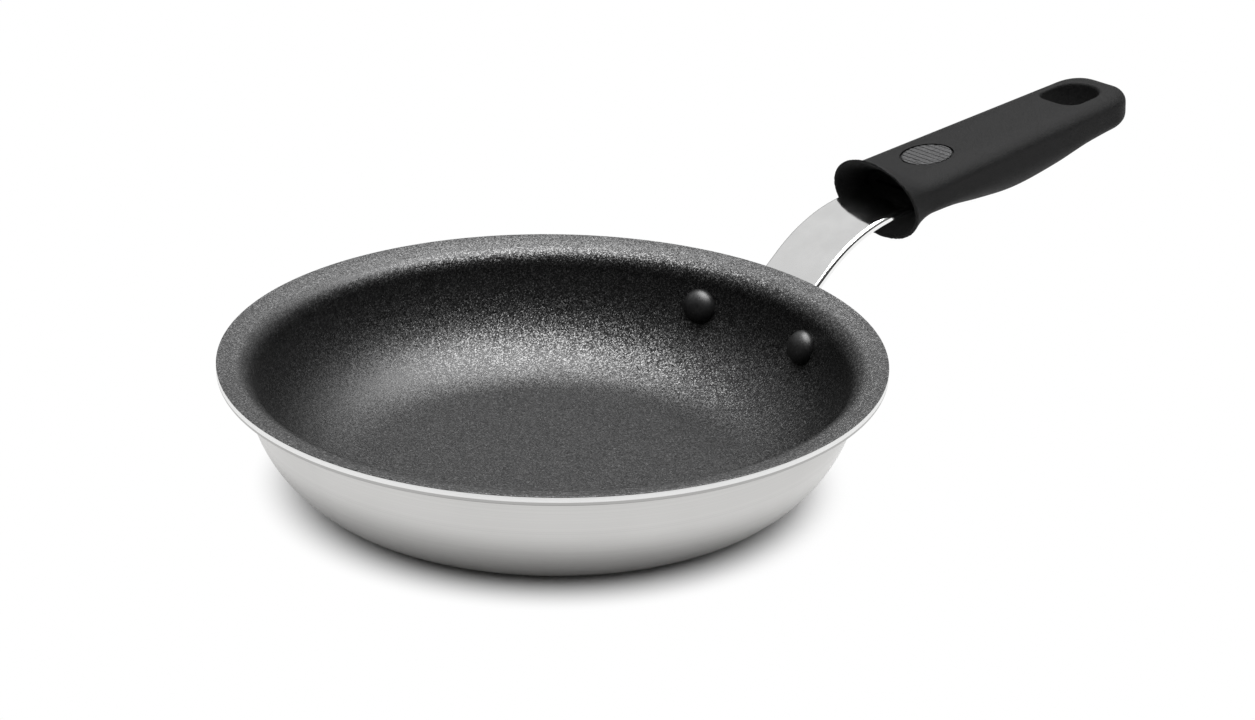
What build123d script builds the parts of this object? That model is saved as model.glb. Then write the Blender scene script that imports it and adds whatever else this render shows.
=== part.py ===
from build123d import *
import os
from math import asin, atan2, cos, degrees, hypot, radians, sin, sqrt, tan

# Omelette pan: a spun aluminium dish with a nonstick lining, a riveted steel strap handle and a
# moulded silicone grip that pulls off the strap's tang. Millimetres and degrees. The origin is the
# centre of the base on the surface that the pan stands on, +Z is up and the handle points along +X.

# Each cutting tool runs past what it cuts by this much
CUT_OVERRUN = 4.0

# Pan body, spun from one disc of sheet
RIM_RADIUS = 105.0
RIM_HEIGHT = 41.6
SHEET_THICKNESS = 2.8
WALL_REACH = 29.4
HEEL_RADIUS = 22.0
HEEL_END_SLOPE = 39.0
LIP_WIDTH = 8.6
LIP_SLOPE = 12.0
LIP_BEND_RADIUS = 3.3
LIP_EDGE_RADIUS = 1.1

# Nonstick lining, on the whole inner face as far as the rim
COATING_THICKNESS = 0.2

# Strap handle, a flat bar whose foot spreads into a plate that hugs the wall
STRAP_WIDTH = 24.6
STRAP_THICKNESS = 3.0
STRAP_EDGE_RADIUS = 1.3
STRAP_BEND_RADIUS = 56.2
STRAP_CORNER_REACH = 21.3
STRAP_RIM_GAP = 0.2
FOOT_BEND_RADIUS = 7.0
TANG_DROP = 1.9
PLATE_EAR_RADIUS = 8.2
RELIEF_WIDTH = 1.6
RELIEF_DEPTH = 6.4

# Rivets, one through each ear of the plate, square to the wall, out from the strap's edges and
# down from the rim
RIVET_SIDE_GAP = 12.4
RIVET_DROP = 15.8
SHANK_RADIUS = 3.0
SHANK_CLEARANCE = 0.05
INNER_HEAD_RADIUS = 5.9
INNER_HEAD_HEIGHT = 4.5
OUTER_HEAD_RADIUS = 5.0
OUTER_HEAD_HEIGHT = 2.2
HEAD_SKIRT = 0.8

# Grip: its mouth lies out from the rim and above it, and the rest is measured from the centre of
# the mouth along the tilted handle axis. The side walls stand outside the tang
MOUTH_GAP = 42.7
MOUTH_LIFT = 15.8
HANDLE_TILT = 4.2
MOUTH_RAKE = 11.5
MOUTH_FLARE = 1.6
MOUTH_HALF_HEIGHT = 15.0
NECK_DISTANCE = 12.5
NECK_SIDE_WALL = 5.05
END_DISTANCE = 109.0
END_SIDE_WALL = 2.45
GRIP_RISE = 8.6
BELLY_DROP = 13.4
HOOD_DEPTH = 13.0
HOOD_LIP_WALL = 1.7
HOOD_ROOT_WALL = 3.4
OVERRUN_FLARE_SHARE = 0.5
GRIP_CLEARANCE = 0.25

# How the belly comes and goes from neck to end, as shares of the way and of the drop
BELLY_STATION_SHARES = (0.0, 0.12, 0.28, 0.48, 0.70, 0.86, 0.94, 1.0)
BELLY_DROP_SHARES = (0.56, 0.63, 0.835, 1.0, 0.875, 0.645, 0.575, 0.54)

# How the bell opens from mouth back to neck, as shares of the way and of the flare
BELL_STATION_SHARES = (1.0, 0.72, 0.42, 0.0)
BELL_FLARE_SHARES = (1.0, 0.45, 0.14, 0.0)

# How square the grip is above and below its axis, and its mouth, with points on half a section
TOP_SQUARENESS = 4.0
BELLY_SQUARENESS = 2.3
MOUTH_SQUARENESS = 2.0
SECTION_STEPS = 14

# Hang hole, straight across towards the pan and round towards the end
HOLE_INSET = 4.8
HOLE_RADIUS = 8.4
HOLE_FLAT_REACH = 12.2
HOLE_CORNER_RADIUS = 5.6
HOLE_EDGE_RADIUS = 0.5

# The tang is drilled in line with the hang hole, and its edge stands a little into the hole
TANG_HOLE_MARGIN = 0.5

# Plain oval recess on top of the grip
RECESS_DISTANCE = 25.6
RECESS_LENGTH = 20.8
RECESS_WIDTH = 16.8
RECESS_DEPTH = 0.5

X_AXIS = (1, 0, 0)
Y_AXIS = (0, 1, 0)


def on_slope(point, slope, distance):
    """The point at a distance from another in radius and height, along a slope in degrees."""
    return (point[0] + distance * cos(radians(slope)), point[1] + distance * sin(radians(slope)))


def line_meets_circle(point, slope, centre, radius):
    """Where a line in radius and height crosses a circle last, going along its slope."""
    across = (point[0] - centre[0], point[1] - centre[1])
    along = across[0] * cos(radians(slope)) + across[1] * sin(radians(slope))
    reach = sqrt(along**2 - across[0] ** 2 - across[1] ** 2 + radius**2)
    return on_slope(point, slope, reach - along)


# Driving lines of the pan's outer face in radius and height: the heel arc runs on as the wall
# arc, which ends at the root of the lip
FLAT_BASE_RADIUS = RIM_RADIUS - LIP_WIDTH - WALL_REACH
HEEL_CENTRE = (FLAT_BASE_RADIUS, HEEL_RADIUS)
HEEL_END = on_slope(HEEL_CENTRE, HEEL_END_SLOPE - 90, HEEL_RADIUS)
RIM_UNDERSIDE = RIM_HEIGHT - (SHEET_THICKNESS + COATING_THICKNESS) / cos(radians(LIP_SLOPE))
LIP_ROOT = (RIM_RADIUS - LIP_WIDTH, RIM_UNDERSIDE - LIP_WIDTH * tan(radians(LIP_SLOPE)))
WALL_CHORD = (LIP_ROOT[0] - HEEL_END[0], LIP_ROOT[1] - HEEL_END[1])
WALL_BOW = WALL_CHORD[1] * cos(radians(HEEL_END_SLOPE)) - WALL_CHORD[0] * sin(radians(HEEL_END_SLOPE))
WALL_RADIUS = hypot(*WALL_CHORD) ** 2 / (2 * WALL_BOW)
WALL_CENTRE = on_slope(HEEL_END, HEEL_END_SLOPE + 90, WALL_RADIUS)

# Centre of the rolled lower edge of the lip, which the strap passes under
LIP_EDGE = (
    RIM_RADIUS - LIP_EDGE_RADIUS,
    RIM_UNDERSIDE - LIP_EDGE_RADIUS * tan(radians(LIP_SLOPE)) + LIP_EDGE_RADIUS / cos(radians(LIP_SLOPE)),
)

# Places that follow from the sizes above
RIVET_HEIGHT = RIM_HEIGHT - RIVET_DROP
SLOT_HALF_WIDTH = STRAP_WIDTH / 2 + GRIP_CLEARANCE
NECK_HALF_WIDTH = SLOT_HALF_WIDTH + NECK_SIDE_WALL
END_RADIUS = SLOT_HALF_WIDTH + END_SIDE_WALL
MOUTH_HALF_WIDTH = NECK_HALF_WIDTH + MOUTH_FLARE
HOLE_CENTRE_DISTANCE = END_DISTANCE - HOLE_INSET
TANG_LENGTH = HOLE_CENTRE_DISTANCE + STRAP_WIDTH / 2

# The handle's own plane: X out along the grip, Z square to its top, origin in the mouth
HANDLE = Plane(
    origin=(RIM_RADIUS + MOUTH_GAP, 0, RIM_HEIGHT + MOUTH_LIFT),
    x_dir=(cos(radians(HANDLE_TILT)), 0, sin(radians(HANDLE_TILT))),
    z_dir=(-sin(radians(HANDLE_TILT)), 0, cos(radians(HANDLE_TILT))),
)


def bowl_face(inset):
    """Half section of the room inside the outer face, moved inwards by the inset."""
    lip_start = on_slope((RIM_RADIUS, RIM_UNDERSIDE), LIP_SLOPE + 90, inset)
    root = line_meets_circle(lip_start, LIP_SLOPE, WALL_CENTRE, WALL_RADIUS - inset)
    lip_end = on_slope(lip_start, LIP_SLOPE, CUT_OVERRUN)
    ceiling = RIM_HEIGHT + CUT_OVERRUN
    floor = Line((0, inset), (FLAT_BASE_RADIUS, inset))
    heel = JernArc(floor @ 1, (1, 0), HEEL_RADIUS - inset, HEEL_END_SLOPE)
    wall = TangentArc(heel @ 1, root, tangent=heel % 1)
    lip = Line(root, lip_end)
    top = Polyline(lip_end, (lip_end[0], ceiling), (0, ceiling), (0, inset))
    face = make_face([floor, heel, wall, lip, top])
    corner = face.vertices().sort_by_distance((*root, 0))[0]
    return fillet(corner, LIP_BEND_RADIUS + inset)


def spun(face):
    """A half section in radius and height, turned about the pan's axis."""
    return revolve(Plane.XZ * face, axis=Axis.Z)


def below_rim():
    """The half section's room under the rim's top and inside its edge."""
    return Pos(RIM_RADIUS / 2, RIM_HEIGHT / 2) * Rectangle(RIM_RADIUS, RIM_HEIGHT)


def bowl_skin(inner, outer):
    """Half section of the skin between two insets, trimmed square at the rim."""
    return (bowl_face(outer) - bowl_face(inner)) & below_rim()


def blank_pan():
    """The spun dish before its rivet holes, with its lower rim edge rolled over."""
    sheet = bowl_skin(SHEET_THICKNESS, 0)
    edge = sheet.vertices().sort_by_distance((RIM_RADIUS, RIM_UNDERSIDE, 0))[0]
    return spun(fillet(edge, LIP_EDGE_RADIUS))


def blank_lining():
    """The nonstick layer before its rivet holes."""
    return spun(bowl_skin(SHEET_THICKNESS + COATING_THICKNESS, SHEET_THICKNESS))


def rivet_plane(side):
    """Plane on the wall's outer face at a rivet, with Z along the rivet, out of the pan."""
    lean = (WALL_CENTRE[1] - RIVET_HEIGHT) / WALL_RADIUS
    outward = sqrt(1 - lean**2)
    radius = WALL_CENTRE[0] + WALL_RADIUS * outward
    turn_y = side * (STRAP_WIDTH / 2 + RIVET_SIDE_GAP) / radius
    turn_x = sqrt(1 - turn_y**2)
    return Plane(
        origin=(radius * turn_x, radius * turn_y, RIVET_HEIGHT),
        x_dir=(-turn_y, turn_x, 0),
        z_dir=(outward * turn_x, outward * turn_y, -lean),
    )


def rivet_holes():
    """Both rivet holes, long enough to pass through lining, wall and plate."""
    depth = SHEET_THICKNESS + COATING_THICKNESS + STRAP_THICKNESS + CUT_OVERRUN
    drill = Cylinder(SHANK_RADIUS + SHANK_CLEARANCE, 2 * depth)
    return [rivet_plane(side) * drill for side in (-1, 1)]


def domed_head(radius, height):
    """A domed rivet head on Z = 0, with a skirt below that is trimmed to its seat."""
    ball = (radius**2 + height**2) / (2 * height)
    edge_angle = degrees(asin((ball - height) / ball))
    dome = CenterArc((0, height - ball), ball, edge_angle, 90 - edge_angle)
    rest = Polyline((0, height), (0, -HEAD_SKIRT), (radius, -HEAD_SKIRT), (radius, 0))
    return spun(make_face([dome, rest]))


def rivet(side, wall, plate):
    """One rivet: domed head inside, shank through the wall, set head on the plate."""
    seat = SHEET_THICKNESS + COATING_THICKNESS
    place = rivet_plane(side)
    inner = place * Pos(0, 0, -seat) * Rot(180, 0, 0) * domed_head(INNER_HEAD_RADIUS, INNER_HEAD_HEIGHT)
    outer = place * Pos(0, 0, STRAP_THICKNESS) * domed_head(OUTER_HEAD_RADIUS, OUTER_HEAD_HEIGHT)
    shank_start = -seat - INNER_HEAD_HEIGHT / 2
    shank_end = STRAP_THICKNESS + OUTER_HEAD_HEIGHT / 2
    shank = Cylinder(SHANK_RADIUS, shank_end - shank_start)
    shank = place * Pos(0, 0, (shank_start + shank_end) / 2) * shank
    return (inner - wall) + (outer - plate) + shank


def strap_slope(corner):
    """The slope of the strap's rise, which misses the rolled edge of the rim by the rim gap."""
    across = (corner[0] - LIP_EDGE[0], corner[1] - LIP_EDGE[1])
    miss = LIP_EDGE_RADIUS + STRAP_RIM_GAP + STRAP_THICKNESS / 2
    return degrees(atan2(across[1], across[0]) + asin(miss / hypot(*across)))


def foot_start_slope():
    """The wall's slope in degrees at the foot's end, just inside the plate's lower edge."""
    foot_height = RIVET_HEIGHT - PLATE_EAR_RADIUS + STRAP_EDGE_RADIUS
    return 90 - degrees(asin((WALL_CENTRE[1] - foot_height) / WALL_RADIUS))


def strap_path():
    """Centre line of the strap, up the wall, out under the rim and along the tang."""
    layer = WALL_RADIUS + STRAP_THICKNESS / 2
    tang_start = HANDLE.from_local_coords((0, 0, -TANG_DROP))
    axis_point = (tang_start.X, tang_start.Z)
    corner = on_slope(axis_point, HANDLE_TILT, -STRAP_CORNER_REACH)
    slope = strap_slope(corner)
    setback = STRAP_BEND_RADIUS * tan(radians(slope - HANDLE_TILT) / 2)
    bend_start = on_slope(corner, slope, -setback)
    bend_end = on_slope(corner, HANDLE_TILT, setback)
    offset = on_slope(corner, slope - 90, FOOT_BEND_RADIUS)
    swing = line_meets_circle(offset, slope, WALL_CENTRE, layer + FOOT_BEND_RADIUS)
    share = layer / (layer + FOOT_BEND_RADIUS)
    foot_end = tuple(c + (s - c) * share for c, s in zip(WALL_CENTRE, swing))
    slope_start = on_slope(swing, slope + 90, FOOT_BEND_RADIUS)
    foot_start = on_slope(WALL_CENTRE, foot_start_slope() - 90, layer)
    tang_end = on_slope(axis_point, HANDLE_TILT, TANG_LENGTH)
    foot_way = in_space(on_slope((0, 0), foot_start_slope(), 1))
    foot = TangentArc(in_space(foot_start), in_space(foot_end), tangent=foot_way)
    turn = TangentArc(foot @ 1, in_space(slope_start), tangent=foot % 1)
    rise = Line(turn @ 1, in_space(bend_start))
    bend = TangentArc(rise @ 1, in_space(bend_end), tangent=rise % 1)
    tang = Line(bend @ 1, in_space(tang_end))
    return Wire([foot, turn, rise, bend, tang])


def in_space(point):
    """A point in reach and height, in the upright plane of the handle."""
    return (point[0], 0, point[1])


def wall_plate():
    """The plate that hugs the wall, with an ear round each rivet and reliefs by the strap."""
    place = rivet_plane(1)
    ring = Circle(WALL_RADIUS + STRAP_THICKNESS) - Circle(WALL_RADIUS)
    reach = WALL_RADIUS + STRAP_THICKNESS
    keep = Pos(reach / 2, -reach / 2) * Rectangle(reach, reach)
    skin = spun(Pos(*WALL_CENTRE) * (ring & keep))
    outline = SlotCenterToCenter(2 * place.origin.Y, 2 * PLATE_EAR_RADIUS)
    notch_width = STRAP_WIDTH + 2 * RELIEF_WIDTH
    notch = Pos(0, PLATE_EAR_RADIUS) * Rectangle(notch_width, 2 * RELIEF_DEPTH)
    lower_corners = notch.vertices().group_by(Axis.Y)[0]
    outline = outline - fillet(lower_corners, RELIEF_WIDTH / 2)
    front = Plane(origin=(0, 0, RIVET_HEIGHT), x_dir=Y_AXIS, z_dir=X_AXIS)
    return skin & extrude(front * outline, RIM_RADIUS)


def handle_strap(envelope, holes):
    """The strap swept along its path, joined to its wall plate and drilled."""
    path = strap_path()
    start = Plane(origin=path @ 0, x_dir=Y_AXIS, z_dir=path % 0)
    section = start * RectangleRounded(STRAP_WIDTH, STRAP_THICKNESS, STRAP_EDGE_RADIUS)
    bar = sweep(section, path=path) - envelope - tang_waste() - hang_hole(TANG_HOLE_MARGIN)
    return bar + wall_plate() - holes


def tang_waste():
    """What is cut off to leave the tang's end half round about the hang hole."""
    reach = STRAP_WIDTH / 2 + CUT_OVERRUN
    height = 2 * (STRAP_THICKNESS + CUT_OVERRUN)
    block = Box(reach, 2 * reach, height, align=(Align.MIN, Align.CENTER, Align.CENTER))
    waste = block - Cylinder(STRAP_WIDTH / 2, 2 * height)
    return HANDLE * Pos(HOLE_CENTRE_DISTANCE, 0, -TANG_DROP) * waste


def half_section(width, rise, drop, top_power, low_power):
    """Half outline of the grip from top to bottom, a superellipse with two exponents."""
    points = []
    for step in range(SECTION_STEPS + 1):
        turn = radians(180 * step / SECTION_STEPS)
        power = top_power if 2 * step <= SECTION_STEPS else low_power
        height = rise if 2 * step <= SECTION_STEPS else drop
        across = width * abs(sin(turn)) ** (2 / power)
        up = height * abs(cos(turn)) ** (2 / power)
        points.append((across, up if 2 * step <= SECTION_STEPS else -up))
    return Spline(points, tangents=[(1, 0), (-1, 0)])


def section_face(distance, width, rise, drop, top_power, low_power, rake=0.0):
    """A whole section of the grip, square to its axis unless it is raked."""
    half = half_section(width, rise, drop, top_power, low_power)
    face = make_face([half, mirror(half, Plane.YZ)])
    place = Plane(
        origin=(distance, 0, 0),
        x_dir=Y_AXIS,
        z_dir=(cos(radians(rake)), 0, sin(radians(rake))),
    )
    return place * face


def between(start, end, share):
    """The value at a share of the way from start to end."""
    return start + (end - start) * share


def neck_drop():
    """How far the neck's underside lies below the axis."""
    return BELLY_DROP * BELLY_DROP_SHARES[0]


def grip_body():
    """The closed body behind the neck, lofted to the end's centre and turned round it."""
    sections = []
    for way_share, drop_share in zip(BELLY_STATION_SHARES, BELLY_DROP_SHARES):
        distance = between(NECK_DISTANCE, END_DISTANCE, way_share)
        width = between(NECK_HALF_WIDTH, END_RADIUS, way_share)
        drop = BELLY_DROP * drop_share
        sections.append(section_face(distance, width, GRIP_RISE, drop, TOP_SQUARENESS, BELLY_SQUARENESS))
    end_drop = BELLY_DROP * BELLY_DROP_SHARES[-1]
    half = half_section(END_RADIUS, GRIP_RISE, end_drop, TOP_SQUARENESS, BELLY_SQUARENESS)
    half_face = make_face([half, Line(half @ 1, half @ 0)])
    end_plane = Plane(origin=(END_DISTANCE, 0, 0), x_dir=Y_AXIS, z_dir=X_AXIS)
    end_axis = Axis((END_DISTANCE, 0, 0), (0, 0, -1))
    return loft(sections) + revolve(end_plane * half_face, axis=end_axis, revolution_arc=180)


def bell(wall_at_neck, wall_at_lip, back_distance, ahead=0.0):
    """The flared bell from mouth to neck, drawn in by a wall, with any overrun ahead of it."""
    sections = []
    if ahead:
        wide = bell_section(0, 1.0, wall_at_lip - ahead * OVERRUN_FLARE_SHARE, MOUTH_RAKE)
        sections.append(Pos(-ahead, 0, 0) * wide)
    for way_share, flare_share in zip(BELL_STATION_SHARES, BELL_FLARE_SHARES):
        distance = between(back_distance, 0, way_share)
        wall = between(wall_at_neck, wall_at_lip, flare_share)
        sections.append(bell_section(distance, flare_share, wall, MOUTH_RAKE * way_share))
    return loft(sections)


def bell_section(distance, flare_share, wall, rake):
    """A section of the bell at a share of its flare, drawn in by a wall."""
    width = between(NECK_HALF_WIDTH, MOUTH_HALF_WIDTH, flare_share) - wall
    rise = between(GRIP_RISE, MOUTH_HALF_HEIGHT, flare_share) - wall
    drop = between(neck_drop(), MOUTH_HALF_HEIGHT, flare_share) - wall
    top_power = between(TOP_SQUARENESS, MOUTH_SQUARENESS, flare_share)
    low_power = between(BELLY_SQUARENESS, MOUTH_SQUARENESS, flare_share)
    return section_face(distance, width, rise, drop, top_power, low_power, rake)


def tang_slot():
    """The slot that takes the tang, half round at its end like the tang."""
    height = STRAP_THICKNESS + 2 * GRIP_CLEARANCE
    along = (Align.MIN, Align.CENTER, Align.CENTER)
    slot = Box(HOLE_CENTRE_DISTANCE, 2 * SLOT_HALF_WIDTH, height, align=along)
    slot += Pos(HOLE_CENTRE_DISTANCE, 0, 0) * Cylinder(SLOT_HALF_WIDTH, height)
    return Pos(0, 0, -TANG_DROP) * slot


def hang_hole(margin=0.0):
    """The hang hole's cutter, round towards the end and flat towards the pan, less a margin."""
    flat = HOLE_FLAT_REACH - margin
    block = Pos(-flat / 2, 0) * Rectangle(flat, 2 * (HOLE_RADIUS - margin))
    corners = block.vertices().group_by(Axis.X)[0]
    outline = fillet(corners, HOLE_CORNER_RADIUS - margin) + Circle(HOLE_RADIUS - margin)
    depth = GRIP_RISE + BELLY_DROP + CUT_OVERRUN
    return HANDLE * Pos(HOLE_CENTRE_DISTANCE, 0, 0) * extrude(outline, depth, both=True)


def grip_sleeve():
    """The moulded grip: belly, round end, bell mouth, tang slot, hang hole and oval recess."""
    outside = grip_body() + bell(0, 0, NECK_DISTANCE)
    hollow = bell(HOOD_ROOT_WALL, HOOD_LIP_WALL, HOOD_DEPTH, CUT_OVERRUN)
    recess = Pos(RECESS_DISTANCE, 0, GRIP_RISE) * extrude(
        Ellipse(RECESS_LENGTH / 2, RECESS_WIDTH / 2), RECESS_DEPTH, both=True
    )
    grip = HANDLE * (outside - hollow - tang_slot() - recess) - hang_hole()
    return fillet(hole_rims(grip), HOLE_EDGE_RADIUS)


def hole_rims(grip):
    """The edges where the hang hole comes out through the top and the belly."""
    rims = []
    for edge in grip.edges():
        middle = HANDLE.to_local_coords(edge.center())
        near = abs(middle.X - HOLE_CENTRE_DISTANCE) < HOLE_FLAT_REACH + HOLE_EDGE_RADIUS
        if near and abs(middle.Y) <= HOLE_RADIUS and abs(middle.Z) > GRIP_RISE / 2:
            rims.append(edge)
    return rims


def main():
    os.makedirs("parts", exist_ok=True)
    wall = blank_pan()
    lining = blank_lining()
    holes = rivet_holes()
    envelope = spun(bowl_face(0) & below_rim())
    plate = wall_plate()
    nodes = {
        "pan_body": wall - holes,
        "nonstick_coating": lining - holes,
        "handle_strap": handle_strap(envelope, holes),
        "rivet_left": rivet(1, wall + lining, plate),
        "rivet_right": rivet(-1, wall + lining, plate),
        "grip_sleeve": grip_sleeve(),
    }
    for name, solid in nodes.items():
        export_step(solid, f"parts/{name}.step")


main()
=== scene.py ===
from math import asin, atan2, cos, hypot, pi, radians, sin, sqrt, tan

import bmesh
import bpy
from mathutils import Matrix, Vector


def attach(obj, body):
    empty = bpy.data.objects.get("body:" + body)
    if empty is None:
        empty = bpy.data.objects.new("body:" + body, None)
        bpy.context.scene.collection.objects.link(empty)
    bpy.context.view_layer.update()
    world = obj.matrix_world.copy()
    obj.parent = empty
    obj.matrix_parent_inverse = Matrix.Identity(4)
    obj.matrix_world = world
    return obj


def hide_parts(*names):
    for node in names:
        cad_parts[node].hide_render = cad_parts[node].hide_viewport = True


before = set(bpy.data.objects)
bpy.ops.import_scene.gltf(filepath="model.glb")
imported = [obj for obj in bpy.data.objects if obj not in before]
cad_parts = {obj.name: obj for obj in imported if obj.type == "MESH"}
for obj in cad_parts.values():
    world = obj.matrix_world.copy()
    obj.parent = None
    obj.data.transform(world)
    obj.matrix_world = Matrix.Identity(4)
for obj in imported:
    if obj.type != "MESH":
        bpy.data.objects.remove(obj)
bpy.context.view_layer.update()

bl_info = {
    "name": "Omelette Pan Builder",
    "version": (1, 0, 0),
    "blender": (4, 5, 0),
    "location": "View3D > Sidebar > Pan",
    "description": "Builds a small omelette pan with a spun body, a riveted strap and a silicone grip",
    "category": "Object",
}


# ---------------------------------------------------------------- sizes and finishes


def length(name, description, default):
    """A length in metres that the sidebar shows in the scene's unit."""
    return bpy.props.FloatProperty(
        name=name, description=description, default=default, min=0.0, precision=5, unit="LENGTH"
    )


def angle(name, description, default):
    """An angle, given here in degrees."""
    return bpy.props.FloatProperty(
        name=name, description=description, default=radians(default), unit="ROTATION"
    )


def share(name, description, default):
    """A number from 0 to 1."""
    return bpy.props.FloatProperty(
        name=name, description=description, default=default, min=0.0, max=1.0, subtype="FACTOR"
    )


def level(name, description, default):
    """A number that may also be above 1, and where 1 changes nothing."""
    return bpy.props.FloatProperty(name=name, description=description, default=default, min=0.0)


def colour(name, description, default):
    """A linear colour without alpha."""
    return bpy.props.FloatVectorProperty(
        name=name, description=description, default=default, min=0.0, max=1.0, size=3, subtype="COLOR"
    )


def count(name, description, default):
    """A whole number of steps or segments."""
    return bpy.props.IntProperty(name=name, description=description, default=default, min=3)


class DishSizes(bpy.types.PropertyGroup):
    """Sizes of the spun dish and its lining."""

    rim_radius: length("Rim Radius", "From the axis to the edge of the lip", 0.105)
    rim_height: length("Rim Height", "From the hob to the top of the lip", 0.0416)
    sheet: length("Sheet", "Thickness of the aluminium", 0.0028)
    coating: length("Coating", "Thickness of the nonstick lining", 0.0002)
    wall_reach: length("Wall Reach", "How far the wall reaches out past the flat base", 0.0294)
    heel_radius: length("Heel Radius", "Radius of the bend from base to wall, outside", 0.022)
    lining_heel: length("Lining Heel", "Radius of the bend from floor to wall, on the lining", 0.034)
    heel_slope: angle("Heel Slope", "Slope at which the heel runs on as the wall", 39.0)
    lip_width: length("Lip Width", "Width of the flared lip", 0.0086)
    lip_slope: angle("Lip Slope", "How much the lip rises outwards", 12.0)
    lip_bend: length("Lip Bend", "Radius of the bend from wall to lip, outside", 0.0033)
    edge_radius: length("Edge Radius", "Radius of the lip's rolled lower edge", 0.0011)
    top_edge: length("Top Edge", "Radius of the lip's upper corners", 0.00016)
    segments: count("Segments", "Segments round the dish", 288)


class StrapSizes(bpy.types.PropertyGroup):
    """Sizes of the steel strap, its wall plate and its tang."""

    width: length("Width", "Width of the flat bar", 0.0246)
    thickness: length("Thickness", "Thickness of the flat bar", 0.003)
    edge_radius: length("Edge Radius", "Rounding of the bar's edges", 0.0013)
    bend_radius: length("Bend Radius", "Radius of the bend into the tang", 0.0562)
    corner_reach: length(
        "Corner Reach", "From the grip's mouth back to where the two runs would meet", 0.0213
    )
    rim_gap: length("Rim Gap", "Air between the strap and the rolled edge of the lip", 0.0002)
    foot_bend: length("Foot Bend", "Radius of the bend away from the wall", 0.007)
    tang_drop: length("Tang Drop", "How far the tang lies below the grip's axis", 0.0019)
    hole_margin: length("Hole Margin", "How much smaller the tang's hole is than the grip's", 0.0005)
    ear_radius: length("Ear Radius", "Radius of the wall plate's ears", 0.0082)
    relief_width: length("Relief Width", "Width of the relief beside the strap", 0.0016)
    relief_depth: length("Relief Depth", "Depth of the relief from the plate's upper edge", 0.0064)
    plate_edge: length("Plate Edge", "Rounding of the plate's edges", 0.0007)


class RivetSizes(bpy.types.PropertyGroup):
    """Sizes and places of the two rivets."""

    side_gap: length("Side Gap", "From the strap's edge to a rivet's axis", 0.0124)
    drop: length("Drop", "From the top of the rim down to a rivet's axis", 0.0158)
    head_radius: length("Head Radius", "Radius of the domed head in the bowl", 0.0059)
    head_height: length("Head Height", "Height of the domed head", 0.0046)
    shank_radius: length("Shank Radius", "Radius of the shank", 0.003)
    set_radius: length("Set Radius", "Radius of the set head outside", 0.005)
    set_height: length("Set Height", "Height of the set head outside", 0.0022)
    seat_depth: length("Seat Depth", "How far a head is trimmed into its curved seat", 0.0005)
    segments: count("Segments", "Segments round a rivet", 64)


class GripSizes(bpy.types.PropertyGroup):
    """Sizes of the moulded silicone grip, along and across its own axis."""

    mouth_gap: length("Mouth Gap", "From the rim's edge out to the mouth", 0.0427)
    mouth_lift: length("Mouth Lift", "From the rim up to the mouth's centre", 0.0158)
    tilt: angle("Tilt", "How much the grip rises outwards", 4.2)
    mouth_rake: angle("Mouth Rake", "How much the mouth leans back from square", 11.5)
    mouth_width: length("Mouth Half Width", "Half width of the mouth", 0.0192)
    mouth_height: length("Mouth Half Height", "Half height of the mouth", 0.015)
    neck_distance: length("Neck Distance", "From the mouth to the neck", 0.0125)
    neck_width: length("Neck Half Width", "Half width of the neck", 0.0176)
    end_distance: length("End Distance", "From the mouth to the centre of the round end", 0.109)
    end_radius: length("End Radius", "Radius of the round end", 0.015)
    rise: length("Rise", "From the axis up to the flat top", 0.0086)
    belly_drop: length("Belly Drop", "From the axis down to the lowest point of the belly", 0.0134)
    top_corner: share("Top Corner", "How far the upper corners are rounded off", 0.54)
    belly_corner: share("Belly Corner", "How far the lower corners are rounded off", 0.89)
    hood_depth: length("Hood Depth", "Depth of the hollow in the mouth", 0.013)
    lip_wall: length("Lip Wall", "Thickness of the mouth's lip", 0.0012)
    root_wall: length("Root Wall", "Thickness of the wall at the hood's root", 0.003)
    clearance: length("Clearance", "Room round the tang in its slot", 0.00025)
    hole_inset: length("Hole Inset", "From the end's centre back to the hang hole's centre", 0.0048)
    hole_radius: length("Hole Radius", "Radius of the hang hole's round end", 0.0084)
    hole_flat: length("Hole Flat", "From the hole's centre to its flat side", 0.0122)
    hole_corner: length("Hole Corner", "Rounding of the hole's two corners", 0.0056)
    hole_rim: length("Hole Rim", "Rounding of the hang hole's upper rim", 0.0012)
    oval_distance: length("Oval Distance", "From the mouth to the middle of the oval", 0.0256)
    oval_length: length("Oval Length", "Length of the oval recess", 0.0208)
    oval_width: length("Oval Width", "Width of the oval recess", 0.0168)
    oval_depth: length("Oval Depth", "Depth of the oval recess", 0.0009)
    oval_groove: length("Oval Groove", "Width of the groove round the ribbed pad", 0.0008)
    pad_height: length("Pad Height", "From the recess's floor up to the pad's face", 0.00068)
    pad_sink: length("Pad Sink", "How far the pad's foot is let into the recess's floor", 0.0001)
    rib_pitch: length("Rib Pitch", "From one rib of the pad to the next", 0.0024)
    rib_height: length("Rib Height", "Height of a rib", 0.0002)
    voxel: length("Voxel", "Size of the steps that the moulded form is rebuilt with", 0.0005)


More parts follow.
